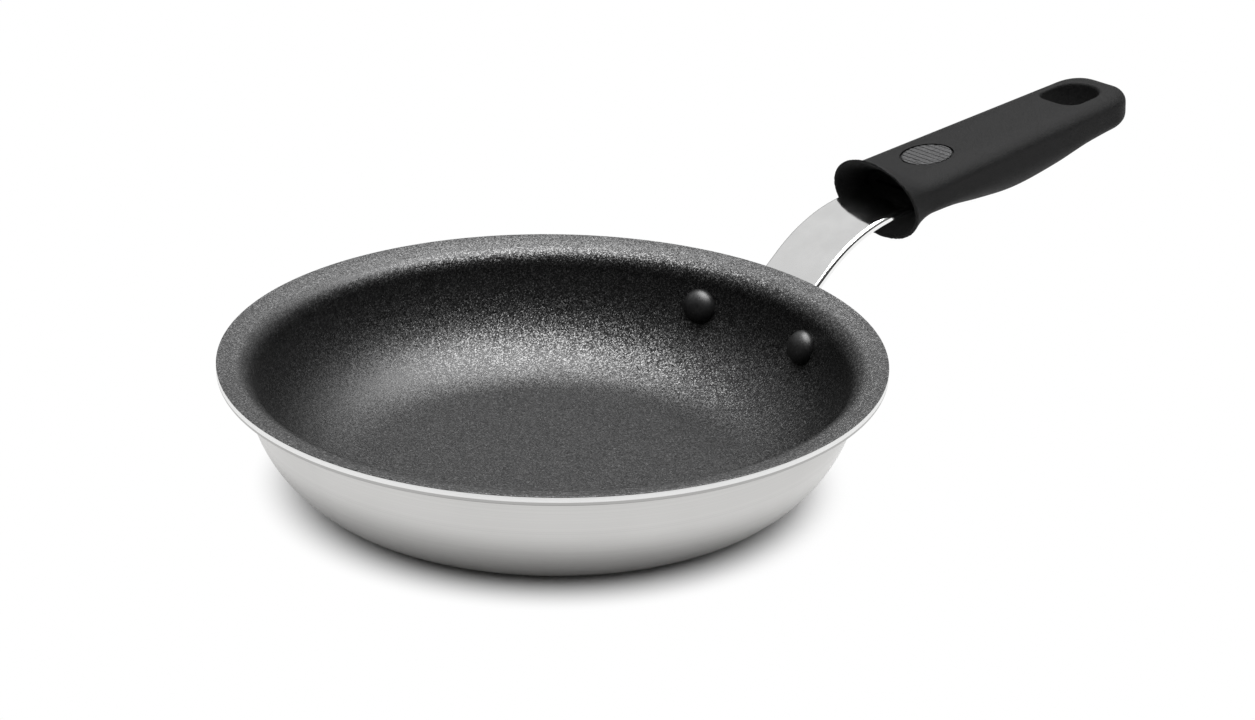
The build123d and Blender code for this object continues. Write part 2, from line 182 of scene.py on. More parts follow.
class Finishes(bpy.types.PropertyGroup):
    """Colours and roughness of the pan's materials, with a painted highlight and painted shadow on the lip's
    edge, and a painted sheen on the lining's lip and painted shade in its bowl.
    """

    aluminium: colour("Aluminium", "Spun aluminium outside", (0.61, 0.605, 0.595))
    # Turned Lip, Turned Reach and Turned Drop paint a highlight on the lip's edge face; Groove Shade paints a
    # shadow line below it.
    lip_painted_highlight: colour("Turned Lip", "Bright turned edge of the lip", (0.84, 0.84, 0.835))
    highlight_reach: length("Turned Reach", "From the rim in to where the turned edge ends", 0.0015)
    highlight_drop: length("Turned Drop", "From the top of the rim down to where the turned edge ends", 0.0019)
    painted_lip_shadow: share("Groove Shade", "Shade of the line below the turned edge", 0.72)
    aluminium_rough: share("Aluminium Roughness", "Roughness of the spun aluminium", 0.36)
    steel: colour("Steel", "Polished steel of the strap", (0.89, 0.89, 0.885))
    steel_rough: share("Steel Roughness", "Roughness of the polished steel", 0.09)
    lining: colour("Lining", "Dark ground of the nonstick lining", (0.045, 0.045, 0.0455))
    flake: colour("Flake", "Mineral flakes in the lining", (0.2, 0.2, 0.2))
    # Lip Reach, Lip Shade and Bowl Shade paint a sheen on the lining's lip and paint shade into its bowl.
    sheen_reach: length("Lip Reach", "From the rim in to where the lining turns darker", 0.007)
    lip_painted_sheen: level("Lip Shade", "Shade of the lining on the lip", 1.36)
    bowl_painted_shade: level("Bowl Shade", "Shade of the lining in the bowl", 0.69)
    lining_rough: share("Lining Roughness", "Roughness of the lining", 0.38)
    rivet: colour("Rivet", "Dark coating of the rivets", (0.006, 0.006, 0.0062))
    rivet_rough: share("Rivet Roughness", "Roughness of the rivets", 0.4)
    silicone: colour("Silicone", "Black silicone of the grip", (0.006, 0.006, 0.0061))
    silicone_rough: share("Silicone Roughness", "Roughness of the silicone", 0.58)
    pad_paleness: level("Pad Paleness", "How much paler the ribbed pad is than the grip", 7.0)


class StudioSettings(bpy.types.PropertyGroup):
    """Camera, lamp, sky and floor."""

    camera_place: bpy.props.FloatVectorProperty(
        name="Camera Place", description="Where the camera stands", default=(-0.6635, -0.7230, 0.4555),
        size=3, subtype="TRANSLATION", unit="LENGTH",
    )
    camera_azimuth: angle("Camera Azimuth", "Which way the camera looks, from the handle's axis", 46.1)
    camera_fall: angle("Camera Fall", "How steeply the camera looks down", 22.96)
    camera_roll: angle("Camera Roll", "How much the camera is turned about its own axis", 1.1)
    camera_lens: bpy.props.FloatProperty(
        name="Lens", description="Focal length of the lens", default=97.53, unit="CAMERA"
    )
    floor_size: length("Floor Size", "Side of the floor", 12.0)
    floor_colour: colour("Floor", "Pale floor", (0.86, 0.86, 0.86))
    shadow_start: length("Shadow Start", "From the pan's axis to where the shadow starts to fade", 0.073)
    shadow_end: length("Shadow End", "From the pan's axis to where the shadow has faded", 0.096)
    mirror_start: length("Mirror Start", "Distance where the floor starts to whiten in shiny metal", 0.074)
    mirror_end: length("Mirror End", "Distance from which the floor is white in shiny metal", 0.116)
    sky_front: share("Sky Front", "Light from the sky on the camera's side", 0.09)
    sky_back: share("Sky Back", "Light from the sky above and behind the pan", 0.87)
    bright_way: bpy.props.FloatVectorProperty(
        name="Bright Way", description="Direction of the brightest sky", default=(0.45, 0.5, 0.74), size=3,
        subtype="DIRECTION",
    )
    sky_low: share("Low Sky", "Share of its light that the sky keeps near the horizon", 0.2)
    top_place: bpy.props.FloatVectorProperty(
        name="Top Box Place", description="Where the soft box above the pan hangs",
        default=(0.27, -0.01, 1.17), size=3, subtype="TRANSLATION", unit="LENGTH",
    )
    top_size: length("Top Box Size", "Width of the soft box above the pan", 1.4)
    top_power: bpy.props.FloatProperty(
        name="Top Box Power", description="Power of the soft box above the pan", default=41.0, min=0.0,
        unit="POWER",
    )


# ---------------------------------------------------------------- hand tools


# Slack for picking vertices by their place.
NEAR = 0.00002
MERGE_DISTANCE = 0.000002
# Faces that meet at more than this are shaded sharp, and edges sharper than the next are rounded.
SHADE_LIMIT = 35.0
BEVEL_LIMIT = 50.0
# Share of a half width that rounds an end fully without its two corners touching.
FULL_ROUND = 0.9999
ROUND_END_SEGMENTS = 24
HOLE_CORNER_SEGMENTS = 12
HOLE_RIM_STEPS = 6
DRILL_DEPTH = 0.06


def start_fresh():
    """Leaves edit mode and deselects everything, so that an operator acts on the new piece alone."""
    if bpy.context.object and bpy.context.object.mode != "OBJECT":
        bpy.ops.object.mode_set(mode="OBJECT")
    bpy.ops.object.select_all(action="DESELECT")


def take_up(piece):
    """Selects a piece alone and makes it the active one."""
    start_fresh()
    piece.select_set(True)
    bpy.context.view_layer.objects.active = piece


def name_piece(name):
    """Names the object that an operator has just made, and its mesh."""
    piece = bpy.context.object
    piece.name = name
    piece.data.name = name
    return piece


def edit_all():
    """Opens the active piece in edit mode with all of it selected."""
    bpy.ops.object.mode_set(mode="EDIT")
    bpy.ops.mesh.select_all(action="SELECT")


def select_vertices(piece, test, among=None):
    """In edit mode, selects the vertices whose place passes the test, and what lies between them."""
    bpy.ops.mesh.select_mode(type="VERT")
    mesh = bmesh.from_edit_mesh(piece.data)
    mesh.verts.index_update()
    for vertex in mesh.verts:
        vertex.select_set((among is None or vertex.index in among) and bool(test(vertex.co)))
    mesh.select_flush(True)
    mesh.select_flush(False)
    bmesh.update_edit_mesh(piece.data)


def selected_places(piece):
    """In edit mode, the places of the selected vertices by their numbers in the mesh."""
    mesh = bmesh.from_edit_mesh(piece.data)
    mesh.verts.index_update()
    return {vertex.index: vertex.co.copy() for vertex in mesh.verts if vertex.select}


def pull(x, y, z):
    """In edit mode, extrudes the selection by a step."""
    bpy.ops.mesh.extrude_region_move(TRANSFORM_OT_translate={"value": (x, y, z)})


def cut_across(point, normal):
    """In edit mode, cuts new edges where a plane crosses the whole piece."""
    bpy.ops.mesh.select_all(action="SELECT")
    bpy.ops.mesh.bisect(plane_co=point, plane_no=normal)


def turn_selection(turn, axis, centre):
    """Turns the selection by the right-hand rule. Without a window the operator turns the other way."""
    bpy.ops.transform.rotate(value=-turn, orient_axis=axis, orient_type="GLOBAL", center_override=centre)


def close_mesh():
    """In edit mode, merges what touches, points all faces outwards and leaves edit mode."""
    bpy.ops.mesh.select_all(action="SELECT")
    bpy.ops.mesh.remove_doubles(threshold=MERGE_DISTANCE)
    bpy.ops.mesh.normals_make_consistent(inside=False)
    bpy.ops.object.mode_set(mode="OBJECT")


def smooth(piece, limit=SHADE_LIMIT):
    """Shades a piece smooth where its faces meet at less than the limit, in degrees."""
    take_up(piece)
    bpy.ops.object.shade_smooth_by_angle(angle=radians(limit), keep_sharp_edges=False)


def settle(piece):
    """Puts the piece's object at the origin, unturned and unscaled, with its place in its mesh."""
    take_up(piece)
    bpy.ops.object.transform_apply(location=True, rotation=True, scale=True)


def add_modifier(piece, name, kind, **settings):
    """Adds a modifier to a piece with its settings."""
    modifier = piece.modifiers.new(name, kind)
    for setting, value in settings.items():
        setattr(modifier, setting, value)


def round_edges(piece, width, segments):
    """Adds a bevel that rounds the piece's sharp edges."""
    add_modifier(
        piece, "edges", "BEVEL", width=width, segments=segments,
        limit_method="ANGLE", angle_limit=radians(BEVEL_LIMIT),
    )


def apply_modifiers(piece):
    """Applies every modifier of a piece in order."""
    take_up(piece)
    for modifier in list(piece.modifiers):
        bpy.ops.object.modifier_apply(modifier=modifier.name)


def combine(piece, cutter, operation="DIFFERENCE"):
    """Cuts a piece with another closed mesh and throws that cutter away."""
    add_modifier(piece, "cut", "BOOLEAN", operation=operation, solver="EXACT", object=cutter)
    apply_modifiers(piece)
    bpy.data.objects.remove(cutter)


def flat_outline(name, place, length_x, length_y):
    """A flat rectangle about a place, open in edit mode."""
    start_fresh()
    bpy.ops.mesh.primitive_plane_add(size=1, location=place)
    outline = name_piece(name)
    outline.scale = (length_x, length_y, 1)
    settle(outline)
    bpy.ops.object.mode_set(mode="EDIT")
    return outline


def rounded_slab(name, start, half_width, thickness, grip, middle=0.0):
    """A slab along the grip's axis that ends half round about the hang hole's centre."""
    end = grip.end_distance - grip.hole_inset + half_width
    foot = ((start + end) / 2, 0, middle - thickness / 2)
    slab = flat_outline(name, foot, end - start, 2 * half_width)
    select_vertices(slab, lambda place: place.x > end - half_width)
    bpy.ops.mesh.bevel(offset=half_width * FULL_ROUND, segments=ROUND_END_SEGMENTS, affect="VERTICES")
    bpy.ops.mesh.select_all(action="SELECT")
    pull(0, 0, thickness)
    close_mesh()
    return slab


def flare_rim(middle, length, width, rim):
    """Extrudes a drill's end face on round a quarter circle, so that it cuts a rounded rim."""
    turn = pi / 2 / HOLE_RIM_STEPS
    for step in range(1, HOLE_RIM_STEPS + 1):
        way = turn * step
        pull(0, 0, rim * (sin(way) - sin(way - turn)))
        before, after = 2 * rim * (1 - cos(way - turn)), 2 * rim * (1 - cos(way))
        stretch = ((length + after) / (length + before), (width + after) / (width + before), 1)
        bpy.ops.transform.resize(value=stretch, center_override=(middle, 0, 0))


def hang_hole_drill(name, margin, grip, rim=0.0):
    """A drill of the hang hole's shape, flat towards the pan and round towards the end."""
    centre = grip.end_distance - grip.hole_inset
    radius, flat, corner = grip.hole_radius - margin, grip.hole_flat - margin, grip.hole_corner - margin
    middle = centre + (radius - flat) / 2
    drill = flat_outline(name, (middle, 0, -DRILL_DEPTH / 2), radius + flat, 2 * radius)
    select_vertices(drill, lambda place: place.x > centre)
    bpy.ops.mesh.bevel(offset=radius * FULL_ROUND, segments=ROUND_END_SEGMENTS, affect="VERTICES")
    select_vertices(drill, lambda place: place.x < centre - flat + NEAR)
    bpy.ops.mesh.bevel(offset=corner, segments=HOLE_CORNER_SEGMENTS, affect="VERTICES")
    bpy.ops.mesh.select_all(action="SELECT")
    pull(0, 0, DRILL_DEPTH / 2 + grip.rise - rim)
    if rim:
        flare_rim(middle, radius + flat, 2 * radius, rim)
    pull(0, 0, DRILL_DEPTH / 2)
    close_mesh()
    return drill


def hand_over(piece, material, body, slot, *nodes):
    """Gives a finished piece its material and its body, and hides the CAD nodes it stands for. The slot is
    not used.
    """
    piece.data.materials.clear()
    piece.data.materials.append(material)
    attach(piece, body)
    if nodes:
        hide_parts(*nodes)


# ---------------------------------------------------------------- lines in radius and height


HEEL_STEPS = 14
WALL_STEPS = 18
LIP_BEND_STEPS = 14
ROLLED_EDGE_STEPS = 8
TOP_EDGE_STEPS = 5


def along(point, slope, distance):
    """The point at a distance from another, along a slope in radians."""
    return (point[0] + distance * cos(slope), point[1] + distance * sin(slope))


def meets_circle(point, slope, centre, radius):
    """Where a line crosses a circle last, going along its slope."""
    across = (point[0] - centre[0], point[1] - centre[1])
    ahead = across[0] * cos(slope) + across[1] * sin(slope)
    reach = sqrt(ahead**2 - across[0] ** 2 - across[1] ** 2 + radius**2)
    return along(point, slope, reach - ahead)


def direction(centre, point):
    """The direction from a centre to a point, in radians."""
    return atan2(point[1] - centre[1], point[0] - centre[0])


def arc(centre, radius, start, end, steps):
    """Points on an arc between two directions in radians."""
    return [along(centre, start + (end - start) * step / steps, radius) for step in range(steps + 1)]


def bent_run(centre, radius, start, end, steps):
    """Points on an arc between two directions, each with the slope of a bar that follows it."""
    square = pi / 2 if end > start else -pi / 2
    ways = [start + (end - start) * step / steps for step in range(steps + 1)]
    return [(along(centre, way, radius), way + square) for way in ways]


def turn_profile(name, profile, segments):
    """Turns a closed profile from pole to pole: a disc is extruded ring after ring."""
    start_fresh()
    radius, height = profile[0]
    bpy.ops.mesh.primitive_circle_add(
        vertices=segments, radius=radius, fill_type="NGON", location=(0, 0, height)
    )
    piece = name_piece(name)
    edit_all()
    for next_radius, next_height in profile[1:]:
        pull(0, 0, next_height - height)
        scale = next_radius / radius
        bpy.ops.transform.resize(value=(scale, scale, 1), center_override=(0, 0, 0))
        radius, height = next_radius, next_height
    close_mesh()
    settle(piece)
    return piece


class DishLines:
    """The dish's driving points in radius and height, worked out from its sizes."""

    def __init__(self, sizes):
        self.sizes = sizes
        slope = sizes.lip_slope
        self.base_radius = sizes.rim_radius - sizes.lip_width - sizes.wall_reach
        self.heel_centre = (self.base_radius, sizes.heel_radius)
        heel_end = along(self.heel_centre, sizes.heel_slope - pi / 2, sizes.heel_radius)
        self.underside = sizes.rim_height - (sizes.sheet + sizes.coating) / cos(slope)
        root = (sizes.rim_radius - sizes.lip_width, self.underside - sizes.lip_width * tan(slope))
        chord = (root[0] - heel_end[0], root[1] - heel_end[1])
        bow = chord[1] * cos(sizes.heel_slope) - chord[0] * sin(sizes.heel_slope)
        self.wall_radius = hypot(*chord) ** 2 / (2 * bow)
        self.wall_centre = along(heel_end, sizes.heel_slope + pi / 2, self.wall_radius)
        below_lip = along((sizes.rim_radius, self.underside), slope - pi / 2, sizes.lip_bend)
        reach = self.wall_radius + sizes.lip_bend
        self.bend_centre = meets_circle(below_lip, slope, self.wall_centre, reach)
        self.edge_centre = (
            sizes.rim_radius - sizes.edge_radius,
            self.underside - sizes.edge_radius * tan(slope) + sizes.edge_radius / cos(slope),
        )

    def heel_at(self, inset, radius):
        """The centre of a heel of its own radius at an inset, and the direction where the wall takes over."""
        rise = inset + radius - self.wall_centre[1]
        reach = sqrt((self.wall_radius - inset - radius) ** 2 - rise**2)
        return (self.wall_centre[0] + reach, inset + radius), atan2(rise, reach)

    def skin(self, inset, heel_radius=0.0):
        """The dish's face at an inset, from the base to the lip, if need be with a heel of its own radius."""
        sizes = self.sizes
        heel_centre, heel_end = self.heel_centre, sizes.heel_slope - pi / 2
        if heel_radius:
            heel_centre, heel_end = self.heel_at(inset, heel_radius)
        wall_end = direction(self.wall_centre, self.bend_centre)
        bend_radius, lip_way = sizes.lip_bend + inset, sizes.lip_slope + pi / 2
        heel = arc(heel_centre, heel_radius or sizes.heel_radius - inset, -pi / 2, heel_end, HEEL_STEPS)
        wall = arc(self.wall_centre, self.wall_radius - inset, heel_end, wall_end, WALL_STEPS)
        bend = arc(self.bend_centre, bend_radius, wall_end + pi, lip_way, LIP_BEND_STEPS)
        return heel + wall[1:] + bend[1:]

    def rim_at(self, inset):
        """The point on the rim's edge face at an inset."""
        return (self.sizes.rim_radius, self.underside + inset / cos(self.sizes.lip_slope))

    def rolled_edge(self):
        """The lip's rolled lower edge, from its underside out to its edge face."""
        sizes = self.sizes
        return arc(self.edge_centre, sizes.edge_radius, sizes.lip_slope - pi / 2, 0, ROLLED_EDGE_STEPS)

    def upper_edge(self, inset, radius):
        """The rounded upper corner of a layer, from its edge face over to its lip face."""
        reach, height = self.rim_at(inset)
        centre = (reach - radius, height - radius)
        return arc(centre, radius, 0, self.sizes.lip_slope + pi / 2, TOP_EDGE_STEPS)


# ---------------------------------------------------------------- materials


# How softly the painted highlight on the lip's edge and the painted sheen on the lining's lip begin, to each
# side.
HIGHLIGHT_BLUR = 0.0001
SHEEN_BLUR = 0.001
FLAKES_PER_METRE = 3300.0
FLAKE_TILT = 0.3


class NodeBoard:
    """The nodes of a material or of the sky, each wired as it is added."""

    def __init__(self, owner, output):
        owner.use_nodes = True
        self.nodes, self.links = owner.node_tree.nodes, owner.node_tree.links
        self.nodes.clear()
        self.output = self.nodes.new(output)

    def feed(self, socket, value):
        """Wires a socket to another one, or sets it to a number, a vector or a colour of three parts."""
        if isinstance(value, bpy.types.NodeSocket):
            self.links.new(value, socket)
        elif socket.type == "RGBA":
            socket.default_value = (*value, 1)
        else:
            socket.default_value = value

    def add(self, kind, feeds=None, **settings):
        """Adds a node with its settings and with what feeds its sockets."""
        node = self.nodes.new(kind)
        for setting, value in settings.items():
            setattr(node, setting, value)
        for socket, value in (feeds or {}).items():
            self.feed(node.inputs[socket], value)
        return node

    def show(self, surface):
        """Makes a shader the one that is seen."""
        self.links.new(surface, self.output.inputs["Surface"])

    def principled(self, feeds):
        """A principled shader."""
        return self.add("ShaderNodeBsdfPrincipled", feeds).outputs["BSDF"]

    def mix_shaders(self, factor, first, second):
        """Two shaders mixed by a factor."""
        return self.add("ShaderNodeMixShader", {"Fac": factor, 1: first, 2: second}).outputs["Shader"]

    def place(self, scale=None):
        """The piece's own coordinates in metres, stretched by a scale if there is one."""
        place = self.add("ShaderNodeTexCoord").outputs["Object"]
        if scale:
            place = self.add("ShaderNodeMapping", {"Vector": place, "Scale": scale}).outputs["Vector"]
        return place

    def radius_and_height(self):
        """The distance from the pan's axis and the height above the hob."""
        parts = self.add("ShaderNodeSeparateXYZ", {"Vector": self.place()}).outputs
        flat = self.add("ShaderNodeCombineXYZ", {"X": parts["X"], "Y": parts["Y"]}).outputs["Vector"]
        return self.vector("LENGTH", flat, output="Value"), parts["Z"]

    def vector(self, operation, first, second=None, output="Vector"):
        """An operation on a vector and, where it takes one, a second vector or a scale."""
        feeds = {0: first}
        if second is not None:
            feeds["Scale" if operation == "SCALE" else 1] = second
        return self.add("ShaderNodeVectorMath", feeds, operation=operation).outputs[output]

    def noise(self, vector, scale, detail=2.0, roughness=0.5):
        """A noise pattern on some coordinates."""
        feeds = {"Vector": vector, "Scale": scale, "Detail": detail, "Roughness": roughness}
        return self.add("ShaderNodeTexNoise", feeds).outputs["Fac"]

    def spread(self, value, start, end, low=0.0, high=1.0, course="LINEAR"):
        """A number that goes from low to high as the value goes from start to end, and never past them."""
        feeds = {"Value": value, "From Min": start, "From Max": end, "To Min": low, "To Max": high}
        node = self.add("ShaderNodeMapRange", feeds, clamp=True, interpolation_type=course)
        return node.outputs["Result"]

    def step(self, value, line, blur, low=0.0, high=1.0):
        """A number that changes from low to high where the value passes a line."""
        return self.spread(value, line - blur, line + blur, low, high)

    def blend(self, factor, first, second):
        """Two colours mixed by a factor; each is three numbers or comes from a node."""
        feeds = {"Factor": factor, "A": first, "B": second}
        return self.add("ShaderNodeMix", feeds, data_type="RGBA").outputs["Result"]

    def shades(self, pattern, start, end, colour, dark, pale):
        """A colour from a darker to a paler shade of itself as the pattern goes from start to end."""
        tones = [[min(part * shade, 1) for part in colour] for shade in (dark, pale)]
        return self.blend(self.spread(pattern, start, end), *tones)

    def bump(self, height, distance, strength=1.0, below=None):
        """A bump whose full height is a distance in metres, on top of another one if there is one."""
        feeds = {"Height": height, "Distance": distance, "Strength": strength}
        if below:
            feeds["Normal"] = below
        return self.add("ShaderNodeBump", feeds).outputs["Normal"]


def new_finish(name):
    """A fresh material and the board that its nodes go on."""
    material = bpy.data.materials.new(name)
    return material, NodeBoard(material, "ShaderNodeOutputMaterial")


def spun_aluminium(finishes, dish):
    """Satin aluminium with the fine rings that the spinning tool leaves, and on the lip's edge face a painted
    highlight above a painted shadow line.
    """
    material, board = new_finish("spun_aluminium")
    radius, height = board.radius_and_height()
    rings = board.add("ShaderNodeCombineXYZ", {"X": radius, "Z": height}).outputs["Vector"]
    fine = board.noise(rings, 5200.0, 3.0, 0.6)
    broad = board.noise(rings, 620.0)
    patches = board.noise(board.place(), 38.0, 3.0, 0.55)
    satin = board.shades(fine, 0.3, 0.7, finishes.aluminium, 0.93, 1.05)
    # The lip's edge face gets a painted highlight, with a painted shadow line below it where the lip turns
    # under.
    groove = [part * finishes.painted_lip_shadow for part in finishes.aluminium]
    above_shadow_line = board.step(height, dish.rim_height - finishes.highlight_drop, HIGHLIGHT_BLUR)
    lip = board.blend(above_shadow_line, groove, finishes.lip_painted_highlight)
    at_edge = board.step(radius, dish.rim_radius - finishes.highlight_reach, HIGHLIGHT_BLUR)
    rough = finishes.aluminium_rough
    board.show(board.principled({
        "Base Color": board.blend(at_edge, satin, lip),
        "Metallic": 1.0,
        "Roughness": board.spread(patches, 0.3, 0.7, rough - 0.03, rough + 0.04),
        "Normal": board.bump(broad, 0.00002, 0.35, board.bump(fine, 0.000006, 0.6)),
    }))
    return material


def polished_steel(finishes):
    """Polished steel with a trace of the belt's grain along the bar."""
    material, board = new_finish("polished_steel")
    lines = board.noise(board.place((40.0, 2600.0, 40.0)), 1.0, 3.0, 0.6)
    haze = board.noise(board.place(), 90.0, 4.0, 0.6)
    rough = finishes.steel_rough
    board.show(board.principled({
        "Base Color": board.shades(haze, 0.3, 0.7, finishes.steel, 0.96, 1.03),
        "Metallic": 1.0,
        "Roughness": board.spread(haze, 0.3, 0.7, rough - 0.03, rough + 0.05),
        "Normal": board.bump(lines, 0.000004, 0.4),
    }))
    return material


def nonstick_lining(finishes, dish):
    """Charcoal nonstick full of small mineral flakes, each tilted its own way."""
    material, board = new_finish("nonstick_lining")
    flakes = board.add("ShaderNodeTexVoronoi", {"Vector": board.place(), "Scale": FLAKES_PER_METRE})
    flake = flakes.outputs["Color"]
    parts = board.add("ShaderNodeSeparateColor", {"Color": flake}).outputs
    tone = board.blend(board.spread(parts["Red"], 0.55, 1.0), finishes.lining, finishes.flake)
    # Painted light: the lining is paler on the lip as a painted sheen and darker in the bowl as painted
    # shade.
    radius = board.radius_and_height()[0]
    sheen_start = dish.rim_radius - finishes.sheen_reach
    shade = board.step(radius, sheen_start, SHEEN_BLUR, finishes.bowl_painted_shade, finishes.lip_painted_sheen)
    tilt = board.vector("SCALE", board.vector("SUBTRACT", flake, (0.5, 0.5, 0.5)), FLAKE_TILT)
    square = board.add("ShaderNodeNewGeometry").outputs["Normal"]
    rough = finishes.lining_rough
    board.show(board.principled({
        "Base Color": board.vector("SCALE", tone, shade),
        "Metallic": board.spread(parts["Green"], 0.0, 1.0, 0.8, 1.0),
        "Roughness": board.spread(parts["Blue"], 0.0, 1.0, rough - 0.1, rough + 0.1),
        "Normal": board.vector("NORMALIZE", board.vector("ADD", square, tilt)),
    }))
    return material


def dark_rivet(finishes):
    """Smooth dark coating, a little worn in patches."""
    material, board = new_finish("dark_rivet")
    grain = board.noise(board.place(), 1500.0)
    rough = finishes.rivet_rough
    board.show(board.principled({
        "Base Color": board.shades(grain, 0.35, 0.75, finishes.rivet, 1.0, 2.2),
        "Roughness": board.spread(grain, 0.3, 0.7, rough - 0.06, rough + 0.08),
        "Specular IOR Level": 0.6,
        "Normal": board.bump(grain, 0.00004, 0.5),
    }))
    return material


def black_silicone(finishes, paleness=1.0):
    """Matte black silicone with a fine moulded grain, paler where it is a pad of its own."""
    material, board = new_finish("black_silicone")
    grain = board.noise(board.place(), 2400.0, 2.0, 0.6)
    rough = finishes.silicone_rough
    board.show(board.principled({
        "Base Color": board.shades(grain, 0.38, 0.62, finishes.silicone, 0.4 * paleness, 1.7 * paleness),
        "Roughness": board.spread(grain, 0.3, 0.7, rough - 0.06, rough + 0.08),
        "Specular IOR Level": 0.12,
        "Normal": board.bump(grain, 0.0003),
    }))
    return material


# ---------------------------------------------------------------- dish and lining


class PAN_OT_spin_body(bpy.types.Operator):
    """Spin the aluminium dish from its flat base out to the rim and back along the inside"""

    bl_idname = "pan.spin_body"
    bl_label = "Spin Body"

    def execute(self, context):
        scene = context.scene
        dish = scene.pan_dish
        lines = DishLines(dish)
        profile = lines.skin(0) + lines.rolled_edge() + lines.upper_edge(dish.sheet, dish.top_edge)
        profile += reversed(lines.skin(dish.sheet))
        piece = turn_profile("pan_body_spun", profile, dish.segments)
        smooth(piece)
        hand_over(piece, spun_aluminium(scene.pan_finishes, dish), "pan", "spun_aluminium", "pan_body")
        return {"FINISHED"}


class PAN_OT_spray_lining(bpy.types.Operator):
    """Lay the nonstick lining on the dish's whole inner face, out to the rim"""

    bl_idname = "pan.spray_lining"
    bl_label = "Spray Lining"

    def execute(self, context):
        scene = context.scene
        dish = scene.pan_dish
        lines = DishLines(dish)
        top = dish.sheet + dish.coating
        profile = lines.skin(dish.sheet) + [lines.rim_at(dish.sheet)]
        profile += lines.upper_edge(top, dish.coating / 2)
        profile += reversed(lines.skin(top, dish.lining_heel))
        piece = turn_profile("nonstick_lining", profile, dish.segments)
        smooth(piece)
        hand_over(piece, nonstick_lining(scene.pan_finishes, dish), "pan", "nonstick", "nonstick_coating")
        return {"FINISHED"}


# ---------------------------------------------------------------- strap, plate and rivets


FOOT_STEPS = 8
TURN_STEPS = 10
BEND_STEPS = 26
BAR_EDGE_SEGMENTS = 6
# The slab that trims the tang starts this far behind the mouth and is this thick.
TRIM_START = -0.16
TRIM_THICKNESS = 0.2
PLATE_CIRCLE_SEGMENTS = 64
PLATE_HALF_COLUMNS = 20
PLATE_EDGE_SEGMENTS = 4
HEAD_STEPS, HEAD_SQUARENESS = 16, 2.15
SET_STEPS, SET_SQUARENESS = 10, 2.2
# A head's foot is this share of its rim in radius.
FOOT_SHARE = 0.995


def handle_matrix(dish, grip):
    """The handle's own frame: X out along the grip, Z square to its top, origin in the mouth."""
    place = Matrix.Translation((dish.rim_radius + grip.mouth_gap, 0, dish.rim_height + grip.mouth_lift))
    return place @ Matrix.Rotation(-grip.tilt, 4, "Y")


def strap_stations(dish, strap, rivets, grip):
    """Places and slopes along the strap's centre line, in reach and height."""
    lines = DishLines(dish)
    layer = lines.wall_radius + strap.thickness / 2
    start = handle_matrix(dish, grip) @ Vector((0, 0, -strap.tang_drop))
    axis_point = (start.x, start.z)
    corner = along(axis_point, grip.tilt, -strap.corner_reach)
    gap = hypot(corner[0] - lines.edge_centre[0], corner[1] - lines.edge_centre[1])
    miss = dish.edge_radius + strap.rim_gap + strap.thickness / 2
    slope = direction(lines.edge_centre, corner) + asin(miss / gap)
    bend_start = along(corner, slope, -strap.bend_radius * tan((slope - grip.tilt) / 2))
    bend_centre = along(bend_start, slope - pi / 2, strap.bend_radius)
    offset = along(corner, slope - pi / 2, strap.foot_bend)
    swing = meets_circle(offset, slope, lines.wall_centre, layer + strap.foot_bend)
    swing_way = direction(lines.wall_centre, swing)
    foot_height = dish.rim_height - rivets.drop - strap.ear_radius + strap.edge_radius
    foot_way = -asin((lines.wall_centre[1] - foot_height) / lines.wall_radius)
    up, over = slope + pi / 2, grip.tilt + pi / 2
    foot = bent_run(lines.wall_centre, layer, foot_way, swing_way, FOOT_STEPS)
    turn = bent_run(swing, strap.foot_bend, swing_way + pi, up, TURN_STEPS)
    bend = bent_run(bend_centre, strap.bend_radius, up, over, BEND_STEPS)
    tang_length = grip.end_distance - grip.hole_inset + strap.width / 2
    tang = [(along(axis_point, grip.tilt, tang_length), grip.tilt)]
    return foot + turn[1:] + bend + tang


class PAN_OT_bend_strap(bpy.types.Operator):
    """Bend the steel strap: up the wall, out under the rim, over and along the tang"""

    bl_idname = "pan.bend_strap"
    bl_label = "Bend Strap"

    def execute(self, context):
        scene = context.scene
        strap = scene.pan_strap
        stations = strap_stations(scene.pan_dish, strap, scene.pan_rivets, scene.pan_grip)
        (reach, height), slope = stations[0]
        start_fresh()
        bpy.ops.mesh.primitive_plane_add(
            size=1, location=(reach, 0, height), rotation=(0, pi / 2 - slope, 0)
        )
        piece = name_piece("handle_strap_bar")
        piece.scale = (strap.thickness, strap.width, 1)
        settle(piece)
        edit_all()
        bpy.ops.mesh.bevel(offset=strap.edge_radius, segments=BAR_EDGE_SEGMENTS, affect="VERTICES")
        bpy.ops.mesh.select_all(action="SELECT")
        for (next_reach, next_height), next_slope in stations[1:]:
            pull(next_reach - reach, 0, next_height - height)
            reach, height = next_reach, next_height
            turn_selection(slope - next_slope, "Y", (reach, 0, height))
            slope = next_slope
        close_mesh()
        self.trim_tang(piece, scene.pan_dish, strap, scene.pan_grip)
        smooth(piece)
        add_modifier(piece, "flat_faces", "WEIGHTED_NORMAL", keep_sharp=True)
        apply_modifiers(piece)
        hand_over(piece, polished_steel(scene.pan_finishes), "pan", "polished_steel", "handle_strap")
        return {"FINISHED"}

    def trim_tang(self, piece, dish, strap, grip):
        """Rounds the tang's end about the hang hole and drills the hole through it."""
        keep = rounded_slab("tang_outline", TRIM_START, strap.width / 2 + NEAR, TRIM_THICKNESS, grip)
        drill = hang_hole_drill("tang_drill", strap.hole_margin, grip)
        for cutter, operation in ((keep, "INTERSECT"), (drill, "DIFFERENCE")):
            cutter.matrix_world = handle_matrix(dish, grip)
            settle(cutter)
            combine(piece, cutter, operation)


